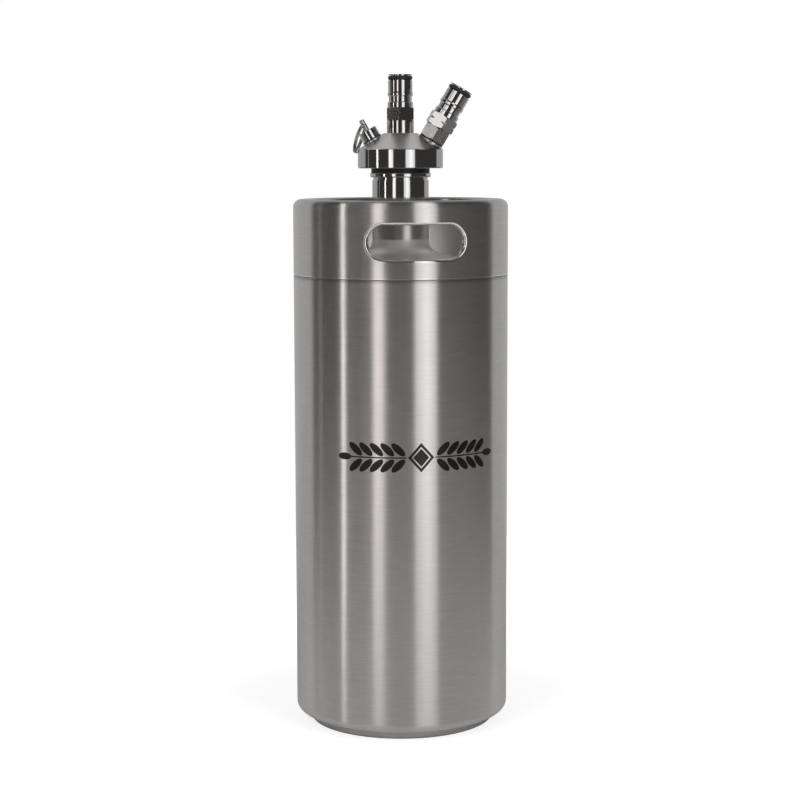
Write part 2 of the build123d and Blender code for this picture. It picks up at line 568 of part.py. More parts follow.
def relief_valve_cap():
    """Disc screwed into the cup, with the hole that guides the stem."""
    low = RELIEF_TOP - RELIEF_CAP
    spigot = RELIEF_CAVITY_RADIUS - THREAD_CLEARANCE
    hole = STEM_RADIUS + RUNNING_CLEARANCE
    return turned((hole, low - RELIEF_CAP_SPIGOT), (spigot, low - RELIEF_CAP_SPIGOT), (spigot, low),
                  (RELIEF_RADIUS, low), (RELIEF_RADIUS, RELIEF_TOP, RELIEF_CAP / 3), (hole, RELIEF_TOP))


def relief_seal():
    """Rubber disc under the stem that closes the seat."""
    return tube(STEM_CORE_RADIUS + RUNNING_CLEARANCE, RELIEF_SEAL_RADIUS, RELIEF_SEAT,
                RELIEF_SEAT + RELIEF_SEAL)


def relief_stem():
    """Stem that the ring pulls: core for the seal, flange for the spring, cross hole near its tip."""
    flange = RELIEF_SEAT + RELIEF_SEAL
    stem = turned((0, RELIEF_SEAT + RELIEF_SEAL / 5), (STEM_CORE_RADIUS, RELIEF_SEAT + RELIEF_SEAL / 5),
                  (STEM_CORE_RADIUS, flange), (STEM_FLANGE_RADIUS, flange),
                  (STEM_FLANGE_RADIUS, flange + STEM_FLANGE), (STEM_RADIUS, flange + STEM_FLANGE),
                  (STEM_RADIUS, STEM_TIP - STEM_CHAMFER), (STEM_RADIUS - STEM_CHAMFER, STEM_TIP),
                  (0, STEM_TIP))
    hole = Plane(origin=(0, 0, STEM_HOLE_HEIGHT), z_dir=(0, 1, 0))
    return stem - hole * extrude(Circle(STEM_HOLE_RADIUS), STEM_RADIUS, both=True)


def relief_spring():
    """Spring that holds the stem on its seat, under the cap."""
    low = RELIEF_SEAT + RELIEF_SEAL + STEM_FLANGE
    return coil(RELIEF_SPRING_RADIUS, RELIEF_SPRING_WIRE, low, RELIEF_TOP - RELIEF_CAP - RELIEF_CAP_SPIGOT)


def pull_ring():
    """Split ring of two turns, threaded through the stem's cross hole and leaning outwards."""
    hole = STEM_FRAME * Pos(0, 0, STEM_HOLE_HEIGHT)
    pivot = Vector(*hole.position)
    through = Vector(*(hole * Pos(0, 1, 0)).position) - pivot
    lean = radians(PULL_RING_LEAN)
    axis = through.cross(Vector(-sin(lean), 0, -cos(lean))).normalized()
    hang = axis.cross(through)
    height = 2 * PULL_RING_PITCH
    path = Helix(pitch=PULL_RING_PITCH, height=height, radius=PULL_RING_RADIUS)
    wire = sweep(Plane(origin=path @ 0, z_dir=path % 0) * Circle(PULL_RING_WIRE), path=path)
    middle = Plane(origin=pivot + hang * PULL_RING_RADIUS, x_dir=hang, z_dir=axis)
    return middle * Pos(0, 0, -height / 2) * wire


LIQUID_POST_FRAME = Pos(0, 0, COLLAR_TOP)

NODES = {
    "outer_shell": outer_shell(),
    "outer_shoulder": outer_shoulder(),
    "inner_vessel": inner_vessel(),
    "neck_tube": neck_tube(),
    "handle_skirt": handle_skirt(),
    "foot_ring": foot_ring(),
    "base_plate": base_plate(),
    "vacuum_seal_plug": vacuum_seal_plug(),
    "head_gasket": head_gasket(),
    "head_body": head_body(),
    "liquid_post": LIQUID_POST_FRAME * post(),
    "liquid_post_oring": LIQUID_POST_FRAME * post_oring(),
    "liquid_poppet": LIQUID_POST_FRAME * poppet(),
    "liquid_poppet_seal": LIQUID_POST_FRAME * poppet_seal(),
    "liquid_poppet_spring": LIQUID_POST_FRAME * poppet_spring(),
    "dip_tube": dip_tube(),
    "dip_tube_oring": dip_tube_oring(),
    "gas_port_washer": GAS_FRAME * gas_port_washer(),
    "gas_port_adapter": GAS_FRAME * gas_port_adapter(),
    "gas_post": GAS_POST_FRAME * notched_post(),
    "gas_post_oring": GAS_POST_FRAME * post_oring(),
    "gas_poppet": GAS_POST_FRAME * poppet(),
    "gas_poppet_seal": GAS_POST_FRAME * poppet_seal(),
    "gas_poppet_spring": GAS_POST_FRAME * poppet_spring(),
    "relief_valve_washer": RELIEF_FRAME * relief_valve_washer(),
    "relief_valve_body": RELIEF_FRAME * relief_valve_body(),
    "relief_valve_cap": RELIEF_FRAME * relief_valve_cap(),
    "relief_stem": STEM_FRAME * relief_stem(),
    "relief_seal": RELIEF_FRAME * relief_seal(),
    "relief_spring": RELIEF_FRAME * relief_spring(),
    "pull_ring": pull_ring(),
}

os.makedirs("parts", exist_ok=True)
for name, shape in NODES.items():
    export_step(shape, f"parts/{name}.step")
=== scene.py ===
import json
from math import cos, pi, radians, sin

import bpy
import numpy as np
from bpy.props import FloatProperty, FloatVectorProperty, IntProperty, PointerProperty
from mathutils import Matrix, Vector

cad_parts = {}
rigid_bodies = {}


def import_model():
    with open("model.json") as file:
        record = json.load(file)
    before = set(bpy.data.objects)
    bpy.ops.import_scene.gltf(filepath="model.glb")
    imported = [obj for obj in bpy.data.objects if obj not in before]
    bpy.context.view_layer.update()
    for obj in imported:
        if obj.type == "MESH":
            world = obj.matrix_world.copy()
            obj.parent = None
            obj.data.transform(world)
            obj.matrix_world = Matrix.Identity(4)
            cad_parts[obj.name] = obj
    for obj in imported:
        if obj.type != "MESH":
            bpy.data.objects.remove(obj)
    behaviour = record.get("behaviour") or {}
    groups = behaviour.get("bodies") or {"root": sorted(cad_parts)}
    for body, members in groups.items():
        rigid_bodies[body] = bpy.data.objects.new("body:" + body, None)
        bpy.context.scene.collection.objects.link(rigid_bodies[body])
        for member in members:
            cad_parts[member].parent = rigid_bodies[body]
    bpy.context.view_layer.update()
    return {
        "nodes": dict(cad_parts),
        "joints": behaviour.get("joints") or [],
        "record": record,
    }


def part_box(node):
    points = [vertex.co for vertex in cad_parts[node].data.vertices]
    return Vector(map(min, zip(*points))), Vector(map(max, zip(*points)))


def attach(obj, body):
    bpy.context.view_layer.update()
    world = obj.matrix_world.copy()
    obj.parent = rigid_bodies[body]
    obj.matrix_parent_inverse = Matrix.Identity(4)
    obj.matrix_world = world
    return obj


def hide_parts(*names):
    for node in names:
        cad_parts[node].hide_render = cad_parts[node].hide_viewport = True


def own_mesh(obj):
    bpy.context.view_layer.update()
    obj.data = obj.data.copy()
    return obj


bl_info = {
    "name": "Mini Keg Dresser",
    "version": (1, 0, 0),
    "blender": (4, 5, 0),
    "location": "3D View > Sidebar > Mini Keg",
    "description": "Finishes, springs and a plain studio for a steel mini keg with a tapping head",
    "category": "Object",
}

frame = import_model()

MOUNTS = {mount["name"]: mount for mount in frame["record"]["mounts"]}
JOINTS = {joint["name"]: joint for joint in frame["joints"]}
UPRIGHT = (0.0, 0.0, 1.0)
FLOOR = (0.0, 0.0, 0.0)
WHITE = (1.0, 1.0, 1.0, 1.0)

# ---- sizes ----
KEG_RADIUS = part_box("outer_shell")[1].x
RIM_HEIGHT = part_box("handle_skirt")[1].z
RIM_ROLL = 0.0052                           # outside radius of the roll at the top of the skirt
WALL_TOP = RIM_HEIGHT - 0.0055              # the skirt's straight inner wall ends here, below the roll
WALL_DEPTH = 0.0005                         # what lies deeper under the keg's radius is the inner wall
SLOT_EDGE_DEPTH = 0.00004                   # what lies deeper near the slot is its rolled edge
SLOT_EDGE_ROUGHNESS = 0.1
SLOT_SIDE = radians(50)                     # the slot lies within this angle of the front
SEAM_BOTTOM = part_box("outer_shell")[1].z
SEAM_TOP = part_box("handle_skirt")[0].z
SEAM_SHADE_HEIGHT = 0.003                      # painted shade on the body, from the seam down
SEAM_HIGHLIGHT_HEIGHT = 0.0007                      # painted highlight on the skirt's edge, from the seam up
FLANGE_HEIGHT = 0.0125
CONE_HEIGHT = 0.0101
FLANGE_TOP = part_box("head_gasket")[1].z + FLANGE_HEIGHT
CONE_TOP = FLANGE_TOP + CONE_HEIGHT
SATIN_CONE = (FLANGE_TOP + 0.0001, CONE_TOP + 0.0002)       # heights between which the head is satin
SATIN_NECK = (0.0, RIM_HEIGHT - 0.004)                      # and the neck, which is polished above them
SATIN_BLEND = 0.00015                       # how far satin runs into polish on either side of these heights
POPPET_WIRE = 0.0004
RELIEF_WIRE = 0.00035

# ---- studio ----
# upright softboxes: middle in degrees round the keg and how far it leans away from the level, width and how
# much it grows away from the level, softness, strength, sines of the angles from and up to which they reach,
# colour
SOFTBOXES = [
    (-65.0, 8.0, 2.8, 0.0, 0.5, 3.8, -0.24, 0.28, (1.0, 0.98, 0.96)),
    (-25.8, 12.0, 11.6, 4.0, 0.5, 1.15, -0.38, 0.45, (1.0, 0.94, 0.93)),
    (-28.3, 12.0, 4.0, 2.0, 1.6, 1.4, -0.38, 0.45, (1.0, 0.94, 0.93)),
    (-37.0, 0.0, 14.0, 0.0, 2.0, 1.0, 0.31, 0.42, (1.0, 0.95, 0.93)),
    (-55.0, 0.0, 12.0, 0.0, 2.0, 0.86, 0.41, 0.51, (1.0, 0.98, 0.95)),
    (26.6, 2.0, 25.0, -4.0, 0.7, 0.9, -0.6, 0.75, (0.98, 0.99, 1.0)),
    (28.0, 0.0, 9.0, 0.0, 4.0, 1.25, -0.6, 0.75, (0.98, 0.99, 1.0)),
    (-96.5, 0.0, 2.5, 0.0, 1.0, 0.3, -0.55, 0.6, (1.0, 1.0, 1.0)),
]
SOFTEST_END = 0.08                          # sine by which a softbox fades on either side of its two ends
GROUND_EDGE = (-0.38, -0.48)                # sines between which the room runs into the ground
CEILING_EDGE = (0.62, 0.9)                  # and into the ceiling
CEILING_BREAK = (0.1, 0.4)                  # along Y, from the ceiling's darker front to its pale back
BACKDROP_LEFT = (radians(-107), radians(-113))
BACKDROP_RIGHT = (radians(113), radians(117))
TABLE_EDGE = 0.01                           # radius of the table's rounded edge
TABLE_CAP = 0.001                           # radius of the face in its middle
TABLE_NEAR = 0.1                            # nearer to the axis the keg's shadow shows most
TABLE_FAR = 0.3                             # farther from it the shadow shows least
TABLE_GLOW = 1.3                            # strength of the white that the eye sees there
GLOW_NEAR = 0.62                            # share of this white near the keg
GLOW_GAIN = 0.33                            # what the share gains far from it
FILL_LAMPS = {"fill_left": radians(-35), "fill_right": radians(40)}     # angles round the keg
LAMP_SIZE = 0.9
LAMP_REACH = 1.7
LAMP_HEIGHT = 1.5
LAMP_AIM = (0.0, 0.0, 0.2)


# ---- shader maths ----
class Value:
    """Output of a shader node. Arithmetic on it adds Math nodes."""

    def __init__(self, wires, socket):
        self.wires = wires
        self.socket = socket

    def math(self, operation, *values):
        return self.wires.node("ShaderNodeMath", {"operation": operation}, values)

    def __add__(self, other):
        return self.math("ADD", self, other)

    __radd__ = __add__

    def __sub__(self, other):
        return self.math("SUBTRACT", self, other)

    def __rsub__(self, other):
        return self.math("SUBTRACT", other, self)

    def __mul__(self, other):
        return self.math("MULTIPLY", self, other)

    __rmul__ = __mul__

    def __truediv__(self, other):
        return self.math("DIVIDE", self, other)

    def __rtruediv__(self, other):
        return self.math("DIVIDE", other, self)

    def __abs__(self):
        return self.math("ABSOLUTE", self)

    def __lt__(self, other):
        return self.math("LESS_THAN", self, other)

    def __gt__(self, other):
        return self.math("GREATER_THAN", self, other)

    def wrap(self, low, high):
        """The value carried round a cycle from low to high."""
        return self.math("WRAP", self, high, low)

    def either(self, other):
        """The larger of two masks."""
        return self.math("MAXIMUM", self, other)


class Wires:
    """A node tree that is written as expressions."""

    def __init__(self, owner):
        owner.use_nodes = True
        self.tree = owner.node_tree
        self.tree.nodes.clear()

    def node(self, kind, settings=None, values=(), output=0):
        """Adds a node: its settings first, then its sockets by name or number. Returns one of its outputs,
        also by name or number, or the node itself if it has none."""
        made = self.tree.nodes.new(kind)
        for name, setting in (settings or {}).items():
            setattr(made, name, setting)
        pairs = values.items() if isinstance(values, dict) else enumerate(values)
        for key, value in pairs:
            if isinstance(value, Value):
                self.tree.links.new(value.socket, made.inputs[key])
            elif value is not None:
                made.inputs[key].default_value = value
        return Value(self, made.outputs[output]) if made.outputs else made

    def place(self):
        """Object coordinates in metres, as a vector."""
        return self.node("ShaderNodeTexCoord", output="Object")

    def parts(self, vector):
        """The three components of a vector."""
        split = self.node("ShaderNodeSeparateXYZ", values=[vector])
        outputs = split.socket.node.outputs
        return [Value(self, outputs[axis]) for axis in range(3)]

    def along(self, axis, origin=FLOOR):
        """Distance of the shaded point from origin, measured along a unit axis."""
        settings = {"operation": "DOT_PRODUCT"}
        reach = self.node("ShaderNodeVectorMath", settings, [self.place(), axis], "Value")
        return reach - float(np.dot(axis, origin))

    def turn(self, vector=None):
        """Angle of a vector round Z, 0 at the front and growing to the right. It is the shaded point's own
        unless a vector is given."""
        x, y, _ = self.parts(vector or self.place())
        return x.math("ARCTAN2", x, -1.0 * y)

    def out(self):
        """Distance of the shaded point from the keg's axis."""
        x, y, _ = self.parts(self.place())
        return x.math("POWER", x * x + y * y, 0.5)

    def ramp(self, value, low, high, start=0.0, end=1.0, smooth=True):
        """Runs from start to end while the value goes from low to high."""
        kind = {"interpolation_type": "SMOOTHSTEP" if smooth else "LINEAR"}
        return self.node("ShaderNodeMapRange", kind, [value, low, high, start, end])

    def band(self, value, low, high, soft):
        """1 between low and high, with soft edges."""
        return self.ramp(value, low - soft, low + soft) * self.ramp(value, high - soft, high + soft, 1.0, 0.0)

    def mix(self, share, first, second):
        """Colour that goes from first to second with share. The sockets go by number, because a Mix node
        has several of the same name."""
        return self.node("ShaderNodeMix", {"data_type": "RGBA"}, {0: share, 6: first, 7: second}, 2)

    def mix_vectors(self, share, first, second):
        """Vector that goes from first to second with share."""
        return self.node("ShaderNodeMix", {"data_type": "VECTOR"}, {0: share, 4: first, 5: second}, 1)

    def noise(self, size, detail=2.0):
        """Noise from 0 to 1. Its features have the given size in metres, or one size for each of X, Y, Z."""
        sizes = size if isinstance(size, tuple) else (size, size, size)
        scale = [1.0 / length for length in sizes]
        spread = self.node("ShaderNodeVectorMath", {"operation": "MULTIPLY"}, [self.place(), scale])
        return self.node("ShaderNodeTexNoise", values={"Vector": spread, "Scale": 1.0, "Detail": detail})

    def bump(self, height, distance, strength, normal=None):
        """Normal bent by a height from 0 to 1, which stands for distance in metres."""
        return self.node("ShaderNodeBump", values={"Strength": strength, "Distance": distance,
                                                   "Height": height, "Normal": normal})

    def surface(self, **sockets):
        """Principled surface into the output; words in a socket's name are joined by underscores."""
        values = {name.replace("_", " "): value for name, value in sockets.items()}
        shader = self.node("ShaderNodeBsdfPrincipled", values=values)
        self.node("ShaderNodeOutputMaterial", values={"Surface": shader})


def opaque(colour):
    """RGB setting as the four numbers of a shader colour."""
    return (*colour, 1.0)


def shade(colour, factor):
    """Darker or lighter version of an RGB setting."""
    return opaque([channel * factor for channel in colour])


def dress(nodes, material):
    """Gives CAD nodes one material."""
    for name in nodes:
        slots = frame["nodes"][name].data.materials
        slots.clear()
        slots.append(material)


def new_material(name):
    """Empty material and the wires to fill it."""
    material = bpy.data.materials.new(name)
    return material, Wires(material)


# ---- meshes ----
def capped_mesh(name, points):
    """Mesh over a grid of points (rows, columns, 3). Each row closes on itself, and the first and the last
    are capped with one face each."""
    rows, columns = points.shape[:2]
    index = np.arange(rows * columns).reshape(rows, columns)
    below, above = index[:-1], index[1:]
    quads = np.stack([below, np.roll(below, -1, axis=1), np.roll(above, -1, axis=1), above], axis=-1)
    faces = [*quads.reshape(-1, 4).tolist(), index[0][::-1].tolist(), index[-1].tolist()]
    mesh = bpy.data.meshes.new(name)
    mesh.from_pydata(points.reshape(-1, 3), [], faces)
    mesh.polygons.foreach_set("use_smooth", np.ones(len(faces), bool))
    mesh.update()
    piece = bpy.data.objects.new(name, mesh)
    bpy.context.scene.collection.objects.link(piece)
    return piece


def tube_round(line, wire, sides):
    """Grid of points round a line (rows, 3): each row is a circle of radius wire across the line."""
    tangent = np.gradient(line, axis=0)
    tangent /= np.linalg.norm(tangent, axis=1, keepdims=True)
    outward = line - line.mean(axis=0)
    outward -= (outward * tangent).sum(axis=1, keepdims=True) * tangent
    outward /= np.linalg.norm(outward, axis=1, keepdims=True)
    across = np.cross(tangent, outward)
    angle = np.linspace(0, 2 * pi, sides, endpoint=False)[None, :, None]
    return line[:, None] + wire * (np.cos(angle) * outward[:, None] + np.sin(angle) * across[:, None])


def axis_space(node, axis, origin):
    """Lowest and highest reach of a CAD node along an axis through origin, and its largest radius."""
    mesh = frame["nodes"][node].data
    points = np.empty(3 * len(mesh.vertices), np.float32)
    mesh.vertices.foreach_get("co", points)
    points = points.reshape(-1, 3) - np.array(origin)
    reach = points @ np.array(axis)
    out = np.linalg.norm(points - np.outer(reach, axis), axis=1)
    return reach.min(), reach.max(), out.max()


def spring_line(low, high, radius, wire, turns, dead_turns, steps):
    """Centre line of a spring about Z. The height grows by the wire's thickness a turn in the dead coils at
    both ends, and evenly in the open coils between them; the radius stays the same."""
    turn = np.linspace(0, turns, steps)
    rise = np.clip(turn, dead_turns, turns - dead_turns) - dead_turns
    dead = np.minimum(turn, dead_turns) + np.maximum(turn - (turns - dead_turns), 0)
    length = high - low - 2 * wire
    dead_rise = 2 * wire
    open_rise = (length - 2 * dead_turns * dead_rise) / (turns - 2 * dead_turns)
    height = low + wire + dead * dead_rise + rise * open_rise
    angle = 2 * pi * turn
    return np.stack([radius * np.cos(angle), radius * np.sin(angle), height], axis=1)


# ---- settings ----
class KegSteel(bpy.types.PropertyGroup):
    """Colours and finishes of the metal and the rubber."""

    steel: FloatVectorProperty(name="Steel", description="Colour of the bare stainless steel",
                               subtype="COLOR", default=(0.62, 0.605, 0.59), min=0, max=1)
    polished: FloatVectorProperty(name="Polished steel", description="Colour of the polished parts",
                                  subtype="COLOR", default=(0.55, 0.545, 0.54), min=0, max=1)
    rubber: FloatVectorProperty(name="Rubber", description="Colour of seals and rings",
                                subtype="COLOR", default=(0.012, 0.012, 0.012), min=0, max=1)
    solder: FloatVectorProperty(name="Solder", description="Colour of the seal in the base",
                                subtype="COLOR", default=(0.58, 0.58, 0.56), min=0, max=1)
    brushed_roughness: FloatProperty(name="Brushed roughness", description="Roughness of the brushed keg",
                                     default=0.31, min=0, max=1, subtype="FACTOR")
    polish_roughness: FloatProperty(name="Polished roughness", description="Roughness of the polished parts",
                                    default=0.08, min=0, max=1, subtype="FACTOR")
    satin_roughness: FloatProperty(name="Satin roughness", default=0.32, min=0, max=1, subtype="FACTOR",
                                   description="Roughness of the head's cone and of the neck's lower part")
    brushing: FloatProperty(name="Brushing", description="How much the brushing stretches highlights",
                            default=1.0, min=0, max=1, subtype="FACTOR")
    mark_height: FloatProperty(name="Brush mark height", description="Height of one brush mark on the keg",
                               default=0.0009, min=0.0001, max=0.01, subtype="DISTANCE", precision=5)
    mark_length: FloatProperty(name="Brush mark length", description="Length of one brush mark on the keg",
                               default=0.014, min=0.001, max=0.2, subtype="DISTANCE")


class KegOrnament(bpy.types.PropertyGroup):
    """Band of etched barley on the front of the keg."""

    colour: FloatVectorProperty(name="Etched steel", description="Colour of the dark etching",
                                subtype="COLOR", default=(0.085, 0.072, 0.066), min=0, max=1)
    turn: FloatProperty(name="Turn", description="Angle from the front to the middle of the band",
                        default=radians(10.4), min=-pi, max=pi, subtype="ANGLE")
    height: FloatProperty(name="Height", description="Height of the middle of the band over the floor",
                          default=0.1842, min=0.05, max=0.25, subtype="DISTANCE")
    half_length: FloatProperty(name="Half length", description="From the middle of the band to its tips",
                               default=0.0547, min=0.02, max=0.1, subtype="DISTANCE")
    half_width: FloatProperty(name="Half width", description="Half of the height of the band",
                              default=0.0093, min=0.004, max=0.02, subtype="DISTANCE")
    grains: IntProperty(name="Grains", description="Pairs of grains on each ear", default=5, min=1, max=12)


class KegSprings(bpy.types.PropertyGroup):
    """Wire springs of the poppets and of the relief valve."""

    turns: FloatProperty(name="Turns", description="Turns of each spring, with its closed ends",
                         default=7.0, min=4, max=20)
    closed_turns: FloatProperty(name="Closed turns", description="Turns that lie on each other at each end",
                                default=1.0, min=0.5, max=2)
    steps: IntProperty(name="Steps", description="Sections along each spring", default=360, min=60, max=1200)
    sides: IntProperty(name="Sides", description="Corners of each section", default=14, min=6, max=48)


class KegStudio(bpy.types.PropertyGroup):
    """Light, floor and camera."""

    room: FloatVectorProperty(name="Room", description="Dark part of the studio",
                              subtype="COLOR", default=(0.054, 0.05, 0.048), min=0, max=1)
    ground: FloatVectorProperty(name="Ground", description="Floor of the studio below the table",
                                subtype="COLOR", default=(0.24, 0.235, 0.23), min=0, max=1)
    ceiling: FloatVectorProperty(name="Ceiling", description="Light from above, behind the keg",
                                 subtype="COLOR", default=(0.85, 0.85, 0.85), min=0, max=1)
    ceiling_front: FloatVectorProperty(name="Front ceiling", description="Light from above, before the keg",
                                       subtype="COLOR", default=(0.2, 0.2, 0.2), min=0, max=1)
    backdrop: FloatVectorProperty(name="Backdrop", description="Pale backdrop behind the keg",
                                  subtype="COLOR", default=(0.5, 0.5, 0.5), min=0, max=1)
    softbox: FloatProperty(name="Softbox", description="Strength of the softboxes", default=1.45, min=0)
    fill: FloatProperty(name="Fill", description="Power of each soft fill lamp", default=25.0, min=0)
    floor: FloatVectorProperty(name="Floor", description="Colour of the table",
                               subtype="COLOR", default=(0.6, 0.595, 0.59), min=0, max=1)
    floor_radius: FloatProperty(name="Floor radius", description="Radius of the table", default=0.65,
                                min=0.2, max=5, subtype="DISTANCE")
    distance: FloatProperty(name="Camera distance", description="From the camera to the keg's axis",
                            default=1.3004, min=0.3, max=5, subtype="DISTANCE")
    eye_height: FloatProperty(name="Camera height", description="Height of the camera over the table",
                              default=0.37146, min=0, max=2, subtype="DISTANCE", precision=4)
    pitch: FloatProperty(name="Camera pitch", description="How far the camera looks down",
                         default=0.1218, min=0, max=1, subtype="ANGLE")
    roll: FloatProperty(name="Camera roll", description="Turn of the camera about its own line of sight",
                        default=-0.0025, min=-1, max=1, subtype="ANGLE")
    sideways: FloatProperty(name="Camera offset", description="Place of the camera to the right of the keg",
                            default=-0.000666, min=-1, max=1, subtype="DISTANCE", precision=6)
    lens: FloatProperty(name="Lens", description="Focal length on a sensor 36 mm wide", default=89.34,
                        min=10, max=300, subtype="DISTANCE_CAMERA")


# ---- finishes ----
def brush_marks(wires, steel):
    """Noise in long level marks, as a fine brush leaves them on a turning keg."""
    length, height = steel.mark_length, steel.mark_height
    return wires.noise((length, length, height))


def barley_mask(wires, ornament):
    """Mask of the etched band. With a the distance from its middle and b the distance from its line,
    both taken without sign, a grain is an ellipse in (a - 0.75 b) and b that repeats along a; a stem joins
    the grains, one more ellipse is the tip, and the middle is a lozenge with a thin bare line in it. The
    width of each is a share of the band's."""
    long, wide = ornament.half_length, ornament.half_width
    tip = wide
    start = 1.15 * wide
    pitch = (long - tip - start) / ornament.grains
    aside = abs(wires.turn() - ornament.turn)
    a = aside * KEG_RADIUS
    b = abs(wires.along(UPRIGHT, (0, 0, ornament.height)))
    lean = a - b * 0.75 - start
    cell = lean.wrap(-pitch / 2, pitch / 2)
    middle, half = 0.55 * wide, 0.45 * wide
    cross = (b - middle) / half
    grain = ((cell / (0.44 * pitch)) * (cell / (0.44 * pitch)) + cross * cross) < 1.0
    row = (lean > -pitch / 2) * (lean < pitch * (ornament.grains - 0.5))
    stem = (b < 0.045 * wide) * (a > wide) * (a < long - tip)
    point = (a - (long - tip / 2)) / (tip / 2)
    beard = b / (0.24 * wide)
    end = (point * point + beard * beard) < 1.0
    lozenge = a / (0.9 * wide) + b / wide
    middle_mark = (lozenge < 1.0) * (1.0 - (lozenge > 0.62) * (lozenge < 0.74))
    return (grain * row).either(stem).either(end).either(middle_mark) * (aside < pi / 2)


def inside_skirt(wires):
    """Masks of the skirt's inner wall behind and beside the neck, and of the slot's rolled edge."""
    below_rim = wires.along(UPRIGHT) < WALL_TOP
    beside = abs(wires.turn()) > SLOT_SIDE
    wall = (wires.out() < KEG_RADIUS - WALL_DEPTH) * beside * below_rim
    edge = (wires.out() < KEG_RADIUS - SLOT_EDGE_DEPTH) * (1.0 - beside) * below_rim
    return wall, edge


def rolled_rim(wires):
    """Normal of the skirt. Over the roll of its rim the sine of the slope is the fourth power of the share
    of the roll's height, so highlights run straight up to the edge, as on brushed metal."""
    x, y, z = wires.parts(wires.place())
    out = wires.out()
    share = wires.ramp(z, RIM_HEIGHT - RIM_ROLL, RIM_HEIGHT, smooth=False)
    lift = share.math("POWER", share, 4.0)
    flat = lift.math("POWER", 1.0 - lift * lift, 0.5) / out
    bent = wires.node("ShaderNodeCombineXYZ", values=[x * flat, y * flat, lift])
    plain = wires.node("ShaderNodeNewGeometry", output="Normal")
    over = (out > KEG_RADIUS - 1.5 * RIM_ROLL) * (z > RIM_HEIGHT - RIM_ROLL)
    return wires.mix_vectors(over, plain, bent)


def brushed_keg(steel, ornament=None):
    """Brushed steel whose highlights spread up and down. The etching is darker and rougher, the inside of
    the skirt is dull and the edge of its slot is polished; both are painted lighter, painted light on the
    wall and a painted highlight on the edge. Below the seam the body is darkened with painted shade, and the
    skirt's lower edge has a painted highlight, a near-white line."""
    material, wires = new_material("brushed_keg" if ornament is None else "brushed_keg_etched")
    marks = brush_marks(wires, steel)
    cloud = wires.noise((0.06, 0.06, 0.02))
    tint = wires.mix(marks, shade(steel.steel, 0.86), shade(steel.steel, 1.11))
    roughness = steel.brushed_roughness + 0.06 * (marks - 0.5) + 0.04 * (cloud - 0.5)
    metal, normal = 1.0, None
    height = wires.along(UPRIGHT)
    if ornament is not None:
        # painted shade: the body darkens towards the seam, under the skirt's edge
        seam_shade = wires.ramp(height, SEAM_BOTTOM - SEAM_SHADE_HEIGHT, SEAM_BOTTOM, 0.0, 0.45)
        tint = wires.mix(seam_shade, tint, shade(steel.steel, 0.1))
        etched = barley_mask(wires, ornament)
        tint = wires.mix(etched, tint, opaque(ornament.colour))
        roughness = roughness + etched * 0.25
    else:
        wall, edge = inside_skirt(wires)
        roughness = roughness + wall * 0.3 - edge * (steel.brushed_roughness - SLOT_EDGE_ROUGHNESS)
        # painted light on the inner wall and a painted highlight on the slot's edge, both as lighter steel
        tint = wires.mix(edge.either(wall), tint, shade(steel.steel, 1.3))
        # painted highlight: a near-white line along the skirt's lower edge
        tint = wires.mix((height < SEAM_TOP + SEAM_HIGHLIGHT_HEIGHT) * 0.9, tint, WHITE)
        metal = 1.0 - 0.85 * wall
        normal = rolled_rim(wires)
    wires.surface(Base_Color=tint, Metallic=metal, Roughness=roughness, Anisotropic=steel.brushing,
                  Anisotropic_Rotation=0.25, Normal=wires.bump(marks, 0.00001, 0.2, normal))
    return material


def pressed_steel(name, steel, painted_lightness):
    """Sheet steel as it leaves the press and the cleaning bath: even, half dull, faintly cloudy. Its colour
    is
    scaled by a factor: above 1 it is painted light, below 1 painted shade.
    """
    material, wires = new_material(name)
    cloud = wires.noise(0.012, detail=4.0)
    grain = wires.noise(0.0006)
    tint = wires.mix(cloud, shade(steel.steel, 0.93 * painted_lightness), shade(steel.steel, 1.07 * painted_lightness))
    wires.surface(Base_Color=tint, Metallic=0.7, Roughness=0.4 + 0.14 * cloud,
                  Normal=wires.bump(grain, 0.00002, 0.3))
    return material


def turned_steel(name, steel, axis, origin, mark, satin=None):
    """Turned and polished steel with tool marks across an axis, as wide as mark. Where the distance along
    the axis is between the two numbers of satin, it is dull."""
    material, wires = new_material(name)
    reach = wires.along(axis, origin)
    lines = {"W": reach / mark, "Scale": 1.0, "Detail": 3.0}
    marks = wires.node("ShaderNodeTexNoise", {"noise_dimensions": "1D"}, lines)
    smear = wires.noise(0.004, detail=3.0)
    tint = wires.mix(marks, shade(steel.polished, 0.94), shade(steel.polished, 1.03))
    roughness = steel.polish_roughness + 0.07 * (marks - 0.5) + 0.05 * (smear - 0.5)
    if satin is not None:
        dull = wires.band(reach, *satin, SATIN_BLEND)
        roughness = roughness + dull * (steel.satin_roughness - steel.polish_roughness)
        tint = wires.mix(dull, tint, shade(steel.steel, 0.97))
    wires.surface(Base_Color=tint, Metallic=1.0, Roughness=roughness,
                  Normal=wires.bump(marks, 0.00001, 0.2))
    return material


def satin_steel(name, colour, roughness, grain_size):
    """Plain machined steel with a fine irregular grain."""
    material, wires = new_material(name)
    grain = wires.noise(grain_size, detail=3.0)
    cloud = wires.noise(12 * grain_size, detail=3.0)
    tint = wires.mix(cloud, shade(colour, 0.9), shade(colour, 1.02))
    wires.surface(Base_Color=tint, Metallic=1.0, Roughness=roughness + 0.1 * (cloud - 0.5),
                  Normal=wires.bump(grain, 0.00001, 0.35))
    return material


